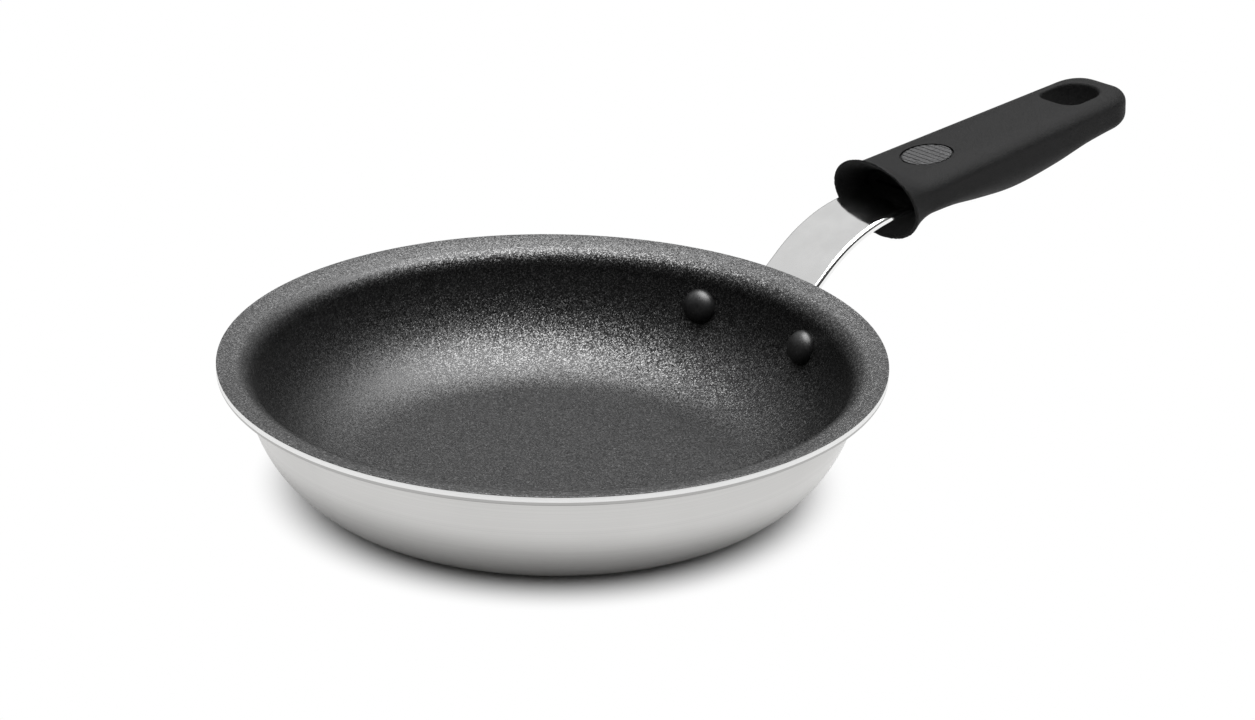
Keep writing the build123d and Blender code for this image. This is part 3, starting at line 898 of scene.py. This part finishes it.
class PAN_OT_press_plate(bpy.types.Operator):
    """Press the strap's wall plate, with an ear round each rivet and a relief by the strap"""

    bl_idname = "pan.press_plate"
    bl_label = "Press Plate"

    def execute(self, context):
        scene = context.scene
        strap = scene.pan_strap
        piece = self.flat_plate(scene.pan_dish, strap, scene.pan_rivets)
        add_modifier(
            piece, "wrap", "SHRINKWRAP", target=bpy.data.objects["pan_body_spun"], wrap_method="PROJECT",
            use_project_x=True, use_negative_direction=True, use_positive_direction=False,
        )
        apply_modifiers(piece)
        edit_all()
        bpy.ops.mesh.normals_make_consistent(inside=False)
        bpy.ops.object.mode_set(mode="OBJECT")
        facing = sum(face.normal.x * face.area for face in piece.data.polygons)
        outwards = 1.0 if facing > 0 else -1.0
        add_modifier(piece, "press", "SOLIDIFY", thickness=strap.thickness, offset=outwards)
        round_edges(piece, strap.plate_edge, PLATE_EDGE_SEGMENTS)
        apply_modifiers(piece)
        bpy.ops.object.mode_set(mode="EDIT")
        close_mesh()
        smooth(piece)
        hand_over(piece, bpy.data.materials["polished_steel"], "pan", "polished_steel")
        return {"FINISHED"}

    def flat_plate(self, dish, strap, rivets):
        """The plate's upright outline, still flat, cut into columns and notched beside the strap."""
        height = dish.rim_height - rivets.drop
        ear = strap.width / 2 + rivets.side_gap
        start_fresh()
        bpy.ops.mesh.primitive_circle_add(
            vertices=PLATE_CIRCLE_SEGMENTS, radius=strap.ear_radius, fill_type="NGON",
            location=(dish.rim_radius, 0, height), rotation=(0, pi / 2, 0),
        )
        piece = name_piece("wall_plate")
        settle(piece)
        bpy.ops.object.mode_set(mode="EDIT")
        for side in (-1, 1):
            select_vertices(piece, lambda place: side * place.y > NEAR)
            bpy.ops.transform.translate(value=(0, side * ear, 0))
        notch = strap.width / 2 + strap.relief_width
        columns = range(-PLATE_HALF_COLUMNS, PLATE_HALF_COLUMNS + 1)
        for cut in [ear * column / PLATE_HALF_COLUMNS for column in columns] + [-notch, notch]:
            cut_across((0, cut, 0), (0, 1, 0))
        notch_floor = height + strap.ear_radius - strap.relief_depth
        for level in (notch_floor, height - strap.ear_radius / 2, height):
            cut_across((0, 0, level), (0, 0, 1))
        select_vertices(piece, lambda place: abs(place.y) < notch + NEAR and place.z > notch_floor - NEAR)
        bpy.ops.mesh.select_mode(type="FACE")
        bpy.ops.mesh.delete(type="FACE")
        bpy.ops.object.mode_set(mode="OBJECT")
        return piece


def rivet_matrix(dish, strap, rivets, side):
    """A rivet's own frame on the wall's outer face, Z along the rivet and out of the pan."""
    lines = DishLines(dish)
    height = dish.rim_height - rivets.drop
    lean = (lines.wall_centre[1] - height) / lines.wall_radius
    outward = sqrt(1 - lean**2)
    radius = lines.wall_centre[0] + lines.wall_radius * outward
    turn_y = side * (strap.width / 2 + rivets.side_gap) / radius
    turn_x = sqrt(1 - turn_y**2)
    axis = Vector((outward * turn_x, outward * turn_y, -lean))
    place = Vector((radius * turn_x, radius * turn_y, height))
    return Matrix.Translation(place) @ axis.to_track_quat("Z", "Y").to_matrix().to_4x4()


def dome(radius, height, steps, squareness):
    """Points of a dome from near its pole to its foot, as radius and height above the foot."""
    power = 2 / squareness
    ways = [pi / 2 * step / steps for step in range(1, steps + 1)]
    return [(radius * sin(way) ** power, height * max(cos(way), 0) ** power) for way in ways]


class PAN_OT_set_rivets(bpy.types.Operator):
    """Set one rivet through each ear of the plate: domed head inside, low head outside"""

    bl_idname = "pan.set_rivets"
    bl_label = "Set Rivets"

    def execute(self, context):
        scene = context.scene
        dish, strap, rivets = scene.pan_dish, scene.pan_strap, scene.pan_rivets
        seat = dish.sheet + dish.coating
        inner_seat, outer_seat = rivets.seat_depth - seat, strap.thickness - rivets.seat_depth
        head = dome(rivets.head_radius, rivets.head_height, HEAD_STEPS, HEAD_SQUARENESS)
        low = dome(rivets.set_radius, rivets.set_height, SET_STEPS, SET_SQUARENESS)
        profile = [(radius, -seat - height) for radius, height in head]
        profile += [(rivets.head_radius * FOOT_SHARE, inner_seat), (rivets.shank_radius, inner_seat)]
        profile += [(rivets.shank_radius, outer_seat), (rivets.set_radius * FOOT_SHARE, outer_seat)]
        profile += [(radius, strap.thickness + height) for radius, height in reversed(low)]
        material = dark_rivet(scene.pan_finishes)
        for name, side in (("rivet_left", 1), ("rivet_right", -1)):
            piece = turn_profile(f"{name}_set", profile, rivets.segments)
            piece.matrix_world = rivet_matrix(dish, strap, rivets, side)
            settle(piece)
            smooth(piece)
            hand_over(piece, material, "pan", "dark_rivet", name)
        return {"FINISHED"}


# ---------------------------------------------------------------- grip


# The belly's drop at shares of the way from neck to round end, as shares of its deepest drop.
BELLY_STATIONS = (0.0, 0.12, 0.28, 0.48, 0.70, 0.86, 0.94, 1.0)
BELLY_DROPS = (0.56, 0.63, 0.835, 1.0, 0.875, 0.645, 0.575, 0.54)
BELLY_STEPS = 36
NECK_CORNER_SEGMENTS = 14
NECK_SIDE_CUTS = 9
# The round end stops just short of a quarter turn, and its steps crowd together towards its tip.
END_STEPS = 24
END_TURN = radians(89.2)
END_CROWDING = 1.3
# How full the round end is seen from above, and in its upper and lower half from the side.
END_PLAN_POWER = 0.92
END_TOP_POWER = 2.9
END_BELLY_POWER = 2.2
BELL_STEPS = 14
LIP_STEPS = 8
HOOD_STEPS = 12
# A ring has this half size while it is rounded, so that it rounds evenly.
ROUNDING_SIZE = 0.015
# The grip is soft all over, so only its hood's root and its recess are shaded sharp.
GRIP_SHADE_LIMIT = 40.0
OVAL_SEGMENTS = 96
OVAL_CUTTER_DEPTH = 0.004
# Ribs to each side of the middle one, and half a rib's width as a share of the pitch.
SIDE_RIBS = 4
HALF_RIB_SHARE = 0.36
RIB_EDGE = 0.00012
RIB_EDGE_SEGMENTS = 3


def fit_ring(piece, half_width, rise, drop):
    """Resizes the selected upright ring to a half width, a rise above the axis and a drop below it."""
    ring = selected_places(piece)
    places = ring.values()
    middle = sum(place.x for place in places) / len(places)
    width = max(abs(place.y) for place in places)
    high = max(place.z for place in places)
    low = -min(place.z for place in places)
    bpy.ops.transform.resize(value=(1, half_width / width, 1), center_override=(middle, 0, 0))
    for half, scale in ((1, rise / high), (-1, drop / low)):
        select_vertices(piece, lambda place: half * place.z > NEAR, ring)
        bpy.ops.transform.resize(value=(1, 1, scale), center_override=(middle, 0, 0))
    select_vertices(piece, lambda place: True, ring)


def belly_share(way):
    """The belly's drop at a share of the way from neck to end, on a smooth curve through its table."""
    stations, drops = BELLY_STATIONS, BELLY_DROPS
    last = len(stations) - 1
    index = sum(way > station for station in stations[1:-1])
    slopes = []
    for knot in (index, index + 1):
        before, after = max(knot - 1, 0), min(knot + 1, last)
        slopes.append((drops[after] - drops[before]) / (stations[after] - stations[before]))
    span = stations[index + 1] - stations[index]
    part = (way - stations[index]) / span
    return (
        (2 * part**3 - 3 * part**2 + 1) * drops[index]
        + (part**3 - 2 * part**2 + part) * span * slopes[0]
        + (3 * part**2 - 2 * part**3) * drops[index + 1]
        + (part**3 - part**2) * span * slopes[1]
    )


def flare_share(way):
    """How far the bell has flared at a share of the way from neck to mouth."""
    return 0.55 * way**2 + 0.45 * way**3


def upright_face(name, distance, corners, half_length):
    """A square face across the grip's axis with its upper and lower corners rounded off."""
    start_fresh()
    bpy.ops.mesh.primitive_plane_add(
        size=2 * half_length, location=(distance, 0, 0), rotation=(0, pi / 2, 0)
    )
    piece = name_piece(name)
    settle(piece)
    bpy.ops.object.mode_set(mode="EDIT")
    reach = half_length - NEAR
    for half, corner in zip((1, -1), corners):
        select_vertices(piece, lambda place: half * place.z > reach and abs(place.y) > reach)
        bpy.ops.mesh.bevel(offset=half_length * corner, segments=NECK_CORNER_SEGMENTS, affect="VERTICES")
    bpy.ops.mesh.select_all(action="DESELECT")
    bpy.ops.mesh.select_mode(type="EDGE")
    for edge in bmesh.from_edit_mesh(piece.data).edges:
        edge.select_set(edge.calc_length() > half_length / 6)
    bpy.ops.mesh.subdivide(number_cuts=NECK_SIDE_CUTS)
    bpy.ops.mesh.select_mode(type="VERT")
    bpy.ops.mesh.select_all(action="SELECT")
    return piece


class PAN_OT_mould_grip(bpy.types.Operator):
    """Mould the grip: belly, round end, bell mouth with its hood, tang slot and hang hole"""

    bl_idname = "pan.mould_grip"
    bl_label = "Mould Grip"

    def execute(self, context):
        scene = context.scene
        strap, grip = scene.pan_strap, scene.pan_grip
        corners = (grip.top_corner, grip.belly_corner)
        piece = upright_face("grip_sleeve_moulded", grip.neck_distance, corners, grip.neck_width)
        fit_ring(piece, grip.neck_width, grip.rise, grip.belly_drop * BELLY_DROPS[0])
        self.pull_body(piece, grip)
        self.round_end(piece, grip)
        self.flare_bell(piece, grip)
        self.sink_hood(piece, grip)
        close_mesh()
        slot_width = strap.width / 2 + grip.clearance
        slot_height = strap.thickness + 2 * grip.clearance
        combine(piece, rounded_slab("tang_slot", 0, slot_width, slot_height, grip, -strap.tang_drop))
        combine(piece, hang_hole_drill("grip_drill", 0, grip, grip.hole_rim))
        add_modifier(piece, "moulded", "REMESH", mode="VOXEL", voxel_size=grip.voxel, use_smooth_shade=True)
        add_modifier(piece, "soften", "SMOOTH", factor=0.5, iterations=4)
        apply_modifiers(piece)
        combine(piece, self.oval_cutter(grip))
        piece.matrix_world = handle_matrix(scene.pan_dish, grip)
        settle(piece)
        smooth(piece, GRIP_SHADE_LIMIT)
        hand_over(piece, black_silicone(scene.pan_finishes), "grip", "black_silicone", "grip_sleeve")
        return {"FINISHED"}

    def pull_body(self, piece, grip):
        """Extrudes the neck's face back along the belly to the centre of the round end."""
        run = grip.end_distance - grip.neck_distance
        for step in range(1, BELLY_STEPS + 1):
            way = step / BELLY_STEPS
            pull(run / BELLY_STEPS, 0, 0)
            width = grip.neck_width + (grip.end_radius - grip.neck_width) * way
            fit_ring(piece, width, grip.rise, grip.belly_drop * belly_share(way))

    def round_end(self, piece, grip):
        """Extrudes the last face on round the half circle of the end."""
        drop = grip.belly_drop * BELLY_DROPS[-1]
        before = 0.0
        for step in range(1, END_STEPS + 1):
            way = END_TURN * (1 - (1 - step / END_STEPS) ** END_CROWDING)
            pull(grip.end_radius * (sin(way) - before), 0, 0)
            before = sin(way)
            fit_ring(
                piece,
                grip.end_radius * cos(way) ** END_PLAN_POWER,
                grip.rise * (1 - before**END_TOP_POWER) ** (1 / END_TOP_POWER),
                drop * (1 - before**END_BELLY_POWER) ** (1 / END_BELLY_POWER),
            )

    def place_ring(self, piece, before, distance, rake, size, sphere=0.0):
        """Extrudes the selected face to a distance, gives it its size and rakes it like the mouth."""
        old_distance, old_rake = before
        pull(0, 0, 0)
        turn_selection(old_rake, "Y", (old_distance, 0, 0))
        bpy.ops.transform.translate(value=(distance - old_distance, 0, 0))
        if sphere:
            fit_ring(piece, ROUNDING_SIZE, ROUNDING_SIZE, ROUNDING_SIZE)
            bpy.ops.transform.tosphere(value=sphere, center_override=(distance, 0, 0))
        fit_ring(piece, *size)
        turn_selection(-rake, "Y", (distance, 0, 0))
        return distance, rake

    def bell_size(self, grip, flare, wall):
        """Half width, rise and drop of the bell at a share of its flare, drawn in by a wall."""
        drop = grip.belly_drop * BELLY_DROPS[0]
        return (
            grip.neck_width + (grip.mouth_width - grip.neck_width) * flare - wall,
            grip.rise + (grip.mouth_height - grip.rise) * flare - wall,
            drop + (grip.mouth_height - drop) * flare - wall,
        )

    def flare_bell(self, piece, grip):
        """Extrudes the neck's face forward into the bell and rounds it towards the mouth."""
        select_vertices(piece, lambda place: abs(place.x - grip.neck_distance) < NEAR)
        before = (grip.neck_distance, 0.0)
        round_before = 0.0
        for step in range(1, BELL_STEPS + 1):
            way = step / BELL_STEPS
            flare = flare_share(way)
            sphere = (flare - round_before) / (1 - round_before)
            round_before = flare
            size = self.bell_size(grip, flare, 0.0)
            distance = grip.neck_distance * (1 - way)
            before = self.place_ring(piece, before, distance, grip.mouth_rake * way, size, sphere)

    def sink_hood(self, piece, grip):
        """Rounds the mouth's lip over and sinks the hollow of the hood behind it."""
        lip = grip.lip_wall / 2
        before = (0.0, grip.mouth_rake)
        for step in range(1, LIP_STEPS):
            way = pi * step / LIP_STEPS
            size = self.bell_size(grip, 1.0, lip * (1 - cos(way)))
            before = self.place_ring(piece, before, -lip * sin(way), grip.mouth_rake, size)
        for step in range(HOOD_STEPS + 1):
            way = 1 - step / HOOD_STEPS
            wall = grip.lip_wall + (grip.root_wall - grip.lip_wall) * (1 - way) ** 2
            size = self.bell_size(grip, flare_share(way), wall)
            before = self.place_ring(piece, before, grip.hood_depth * (1 - way), grip.mouth_rake * way, size)

    def oval_cutter(self, grip):
        """The plain oval recess on the grip's top."""
        height = grip.rise - grip.oval_depth + OVAL_CUTTER_DEPTH / 2
        start_fresh()
        bpy.ops.mesh.primitive_cylinder_add(
            vertices=OVAL_SEGMENTS, radius=0.5, depth=1, location=(grip.oval_distance, 0, height)
        )
        cutter = name_piece("oval_cutter")
        cutter.scale = (grip.oval_length, grip.oval_width, OVAL_CUTTER_DEPTH)
        settle(cutter)
        return cutter


class PAN_OT_rib_oval(bpy.types.Operator):
    """Set the plain oval pad with its straight ribs into the recess on the grip"""

    bl_idname = "pan.rib_oval"
    bl_label = "Rib Oval"

    def execute(self, context):
        scene = context.scene
        grip, finishes = scene.pan_grip, scene.pan_finishes
        floor = grip.rise - grip.oval_depth
        start_fresh()
        bpy.ops.mesh.primitive_circle_add(
            vertices=OVAL_SEGMENTS, radius=0.5, fill_type="NGON",
            location=(grip.oval_distance, 0, floor - grip.pad_sink),
        )
        piece = name_piece("grip_oval_pad")
        piece.scale = (grip.oval_length - 2 * grip.oval_groove, grip.oval_width - 2 * grip.oval_groove, 1)
        settle(piece)
        bpy.ops.object.mode_set(mode="EDIT")
        half_rib = grip.rib_pitch * HALF_RIB_SHARE
        ribs = range(-SIDE_RIBS, SIDE_RIBS + 1)
        middles = [grip.oval_distance + grip.rib_pitch * rib for rib in ribs]
        for middle in middles:
            for edge in (middle - half_rib, middle + half_rib):
                cut_across((edge, 0, 0), (1, 0, 0))
        bpy.ops.mesh.select_all(action="SELECT")
        pull(0, 0, grip.pad_height + grip.pad_sink)
        self.select_ribs(piece, middles, half_rib, floor + grip.pad_height)
        pull(0, 0, grip.rib_height)
        close_mesh()
        round_edges(piece, RIB_EDGE, RIB_EDGE_SEGMENTS)
        apply_modifiers(piece)
        piece.matrix_world = handle_matrix(scene.pan_dish, grip)
        settle(piece)
        smooth(piece)
        hand_over(piece, black_silicone(finishes, finishes.pad_paleness), "grip", "black_silicone")
        return {"FINISHED"}

    def select_ribs(self, piece, middles, half_rib, top):
        """Selects the parts of the pad's face that lie on a rib."""
        bpy.ops.mesh.select_all(action="DESELECT")
        bpy.ops.mesh.select_mode(type="FACE")
        mesh = bmesh.from_edit_mesh(piece.data)
        for face in mesh.faces:
            centre = face.calc_center_median()
            on_rib = min(abs(centre.x - middle) for middle in middles) < half_rib * 0.9
            face.select_set(on_rib and centre.z > top - NEAR and abs(face.normal.z) > 0.9)
        bmesh.update_edit_mesh(piece.data)


# ---------------------------------------------------------------- stage


# The sky brightens between these cosines from its brightest way, and between these heights.
SKY_TURN = (-0.1, 0.75)
SKY_HEIGHTS = (0.22, 0.5)
FLOOR_CUTS = 3


class PAN_OT_set_stage(bpy.types.Operator):
    """Set the pale floor, the soft lamp, the sky and the camera"""

    bl_idname = "pan.set_stage"
    bl_label = "Set Stage"

    def execute(self, context):
        scene = context.scene
        studio = scene.pan_studio
        start_fresh()
        bpy.ops.mesh.primitive_plane_add(size=studio.floor_size, location=(0, 0, 0))
        floor = name_piece("floor")
        bpy.ops.object.mode_set(mode="EDIT")
        bpy.ops.mesh.subdivide(number_cuts=FLOOR_CUTS)
        bpy.ops.object.mode_set(mode="OBJECT")
        floor.data.materials.append(self.pale_floor(studio))
        self.light_sky(scene, studio)
        self.hang_lamp(studio)
        self.place_camera(scene, studio)
        scene.view_settings.view_transform = "Standard"
        return {"FINISHED"}

    def pale_floor(self, studio):
        """A pale floor that shows white to the camera and to shiny metal, and keeps the pan's shadow."""
        material, board = new_finish("pale_floor")
        away = board.vector("LENGTH", board.place(), output="Value")
        rays = board.add("ShaderNodeLightPath").outputs
        seen = 0.0
        for ray, start, end in (
            ("Is Camera Ray", studio.shadow_start, studio.shadow_end),
            ("Is Glossy Ray", studio.mirror_start, studio.mirror_end),
            ("Is Transmission Ray", studio.mirror_start, studio.mirror_end),
        ):
            lift = board.spread(away, start, end, course="SMOOTHSTEP")
            feeds = {0: lift, 1: rays[ray], 2: seen}
            seen = board.add("ShaderNodeMath", feeds, operation="MULTIPLY_ADD").outputs["Value"]
        matte = board.principled({
            "Base Color": studio.floor_colour, "Roughness": 0.9, "Specular IOR Level": 0.0,
        })
        white = board.add("ShaderNodeEmission").outputs["Emission"]
        board.show(board.mix_shaders(seen, matte, white))
        return material

    def light_sky(self, scene, studio):
        """A soft sky, brighter above and behind the pan, that is plain white to the camera."""
        scene.world = bpy.data.worlds.new("studio_sky")
        board = NodeBoard(scene.world, "ShaderNodeOutputWorld")
        way = board.add("ShaderNodeTexCoord").outputs["Generated"]
        brightest = Vector(studio.bright_way).normalized()
        facing = board.vector("DOT_PRODUCT", way, brightest, output="Value")
        level = board.spread(facing, *SKY_TURN, studio.sky_front, studio.sky_back, "SMOOTHSTEP")
        height = board.add("ShaderNodeSeparateXYZ", {"Vector": way}).outputs["Z"]
        kept = board.spread(height, *SKY_HEIGHTS, studio.sky_low, 1.0, "SMOOTHSTEP")
        feeds = {0: level, 1: kept}
        strength = board.add("ShaderNodeMath", feeds, operation="MULTIPLY").outputs["Value"]
        soft = board.add("ShaderNodeBackground", {"Strength": strength}).outputs["Background"]
        white = board.add("ShaderNodeBackground", {"Strength": 1.0}).outputs["Background"]
        rays = board.add("ShaderNodeLightPath").outputs
        board.show(board.mix_shaders(rays["Is Camera Ray"], soft, white))

    def hang_lamp(self, studio):
        """One large soft box above the pan, turned towards it."""
        bpy.ops.object.light_add(type="AREA", location=studio.top_place)
        lamp = bpy.context.object
        lamp.name = "top_box"
        lamp.data.shape = "DISK"
        lamp.data.size = studio.top_size
        lamp.data.energy = studio.top_power
        lamp.rotation_euler = (-Vector(studio.top_place)).to_track_quat("-Z", "Y").to_euler()

    def place_camera(self, scene, studio):
        """The camera of the photograph, at the photograph's lens."""
        ahead = Vector((
            cos(studio.camera_azimuth) * cos(studio.camera_fall),
            sin(studio.camera_azimuth) * cos(studio.camera_fall),
            -sin(studio.camera_fall),
        ))
        look = ahead.to_track_quat("-Z", "Y").to_matrix().to_4x4()
        roll = Matrix.Rotation(studio.camera_roll, 4, "Z")
        data = bpy.data.cameras.new("studio_camera")
        data.sensor_fit = "HORIZONTAL"
        data.sensor_width = 36.0
        data.lens = studio.camera_lens
        camera = bpy.data.objects.new("studio_camera", data)
        scene.collection.objects.link(camera)
        camera.matrix_world = Matrix.Translation(studio.camera_place) @ look @ roll
        scene.camera = camera


# ---------------------------------------------------------------- panel and registration


OPERATORS = (
    PAN_OT_spin_body,
    PAN_OT_spray_lining,
    PAN_OT_bend_strap,
    PAN_OT_press_plate,
    PAN_OT_set_rivets,
    PAN_OT_mould_grip,
    PAN_OT_rib_oval,
    PAN_OT_set_stage,
)


class PAN_PT_builder(bpy.types.Panel):
    """Buttons for the pan's pieces, in building order"""

    bl_idname = "PAN_PT_builder"
    bl_label = "Omelette Pan"
    bl_space_type = "VIEW_3D"
    bl_region_type = "UI"
    bl_category = "Pan"

    def draw(self, context):
        for operator in OPERATORS:
            self.layout.operator(operator.bl_idname)


GROUPS = {
    "pan_dish": DishSizes,
    "pan_strap": StrapSizes,
    "pan_rivets": RivetSizes,
    "pan_grip": GripSizes,
    "pan_finishes": Finishes,
    "pan_studio": StudioSettings,
}


def register():
    for name, group in GROUPS.items():
        bpy.utils.register_class(group)
        setattr(bpy.types.Scene, name, bpy.props.PointerProperty(type=group))
    for operator in OPERATORS:
        bpy.utils.register_class(operator)
    bpy.utils.register_class(PAN_PT_builder)


def unregister():
    bpy.utils.unregister_class(PAN_PT_builder)
    for operator in reversed(OPERATORS):
        bpy.utils.unregister_class(operator)
    for name, group in reversed(list(GROUPS.items())):
        delattr(bpy.types.Scene, name)
        bpy.utils.unregister_class(group)


def main():
    """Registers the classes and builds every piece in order."""
    register()
    bpy.ops.pan.spin_body()
    bpy.ops.pan.spray_lining()
    bpy.ops.pan.bend_strap()
    bpy.ops.pan.press_plate()
    bpy.ops.pan.set_rivets()
    bpy.ops.pan.mould_grip()
    bpy.ops.pan.rib_oval()
    bpy.ops.pan.set_stage()


if __name__ == "__main__":
    main()
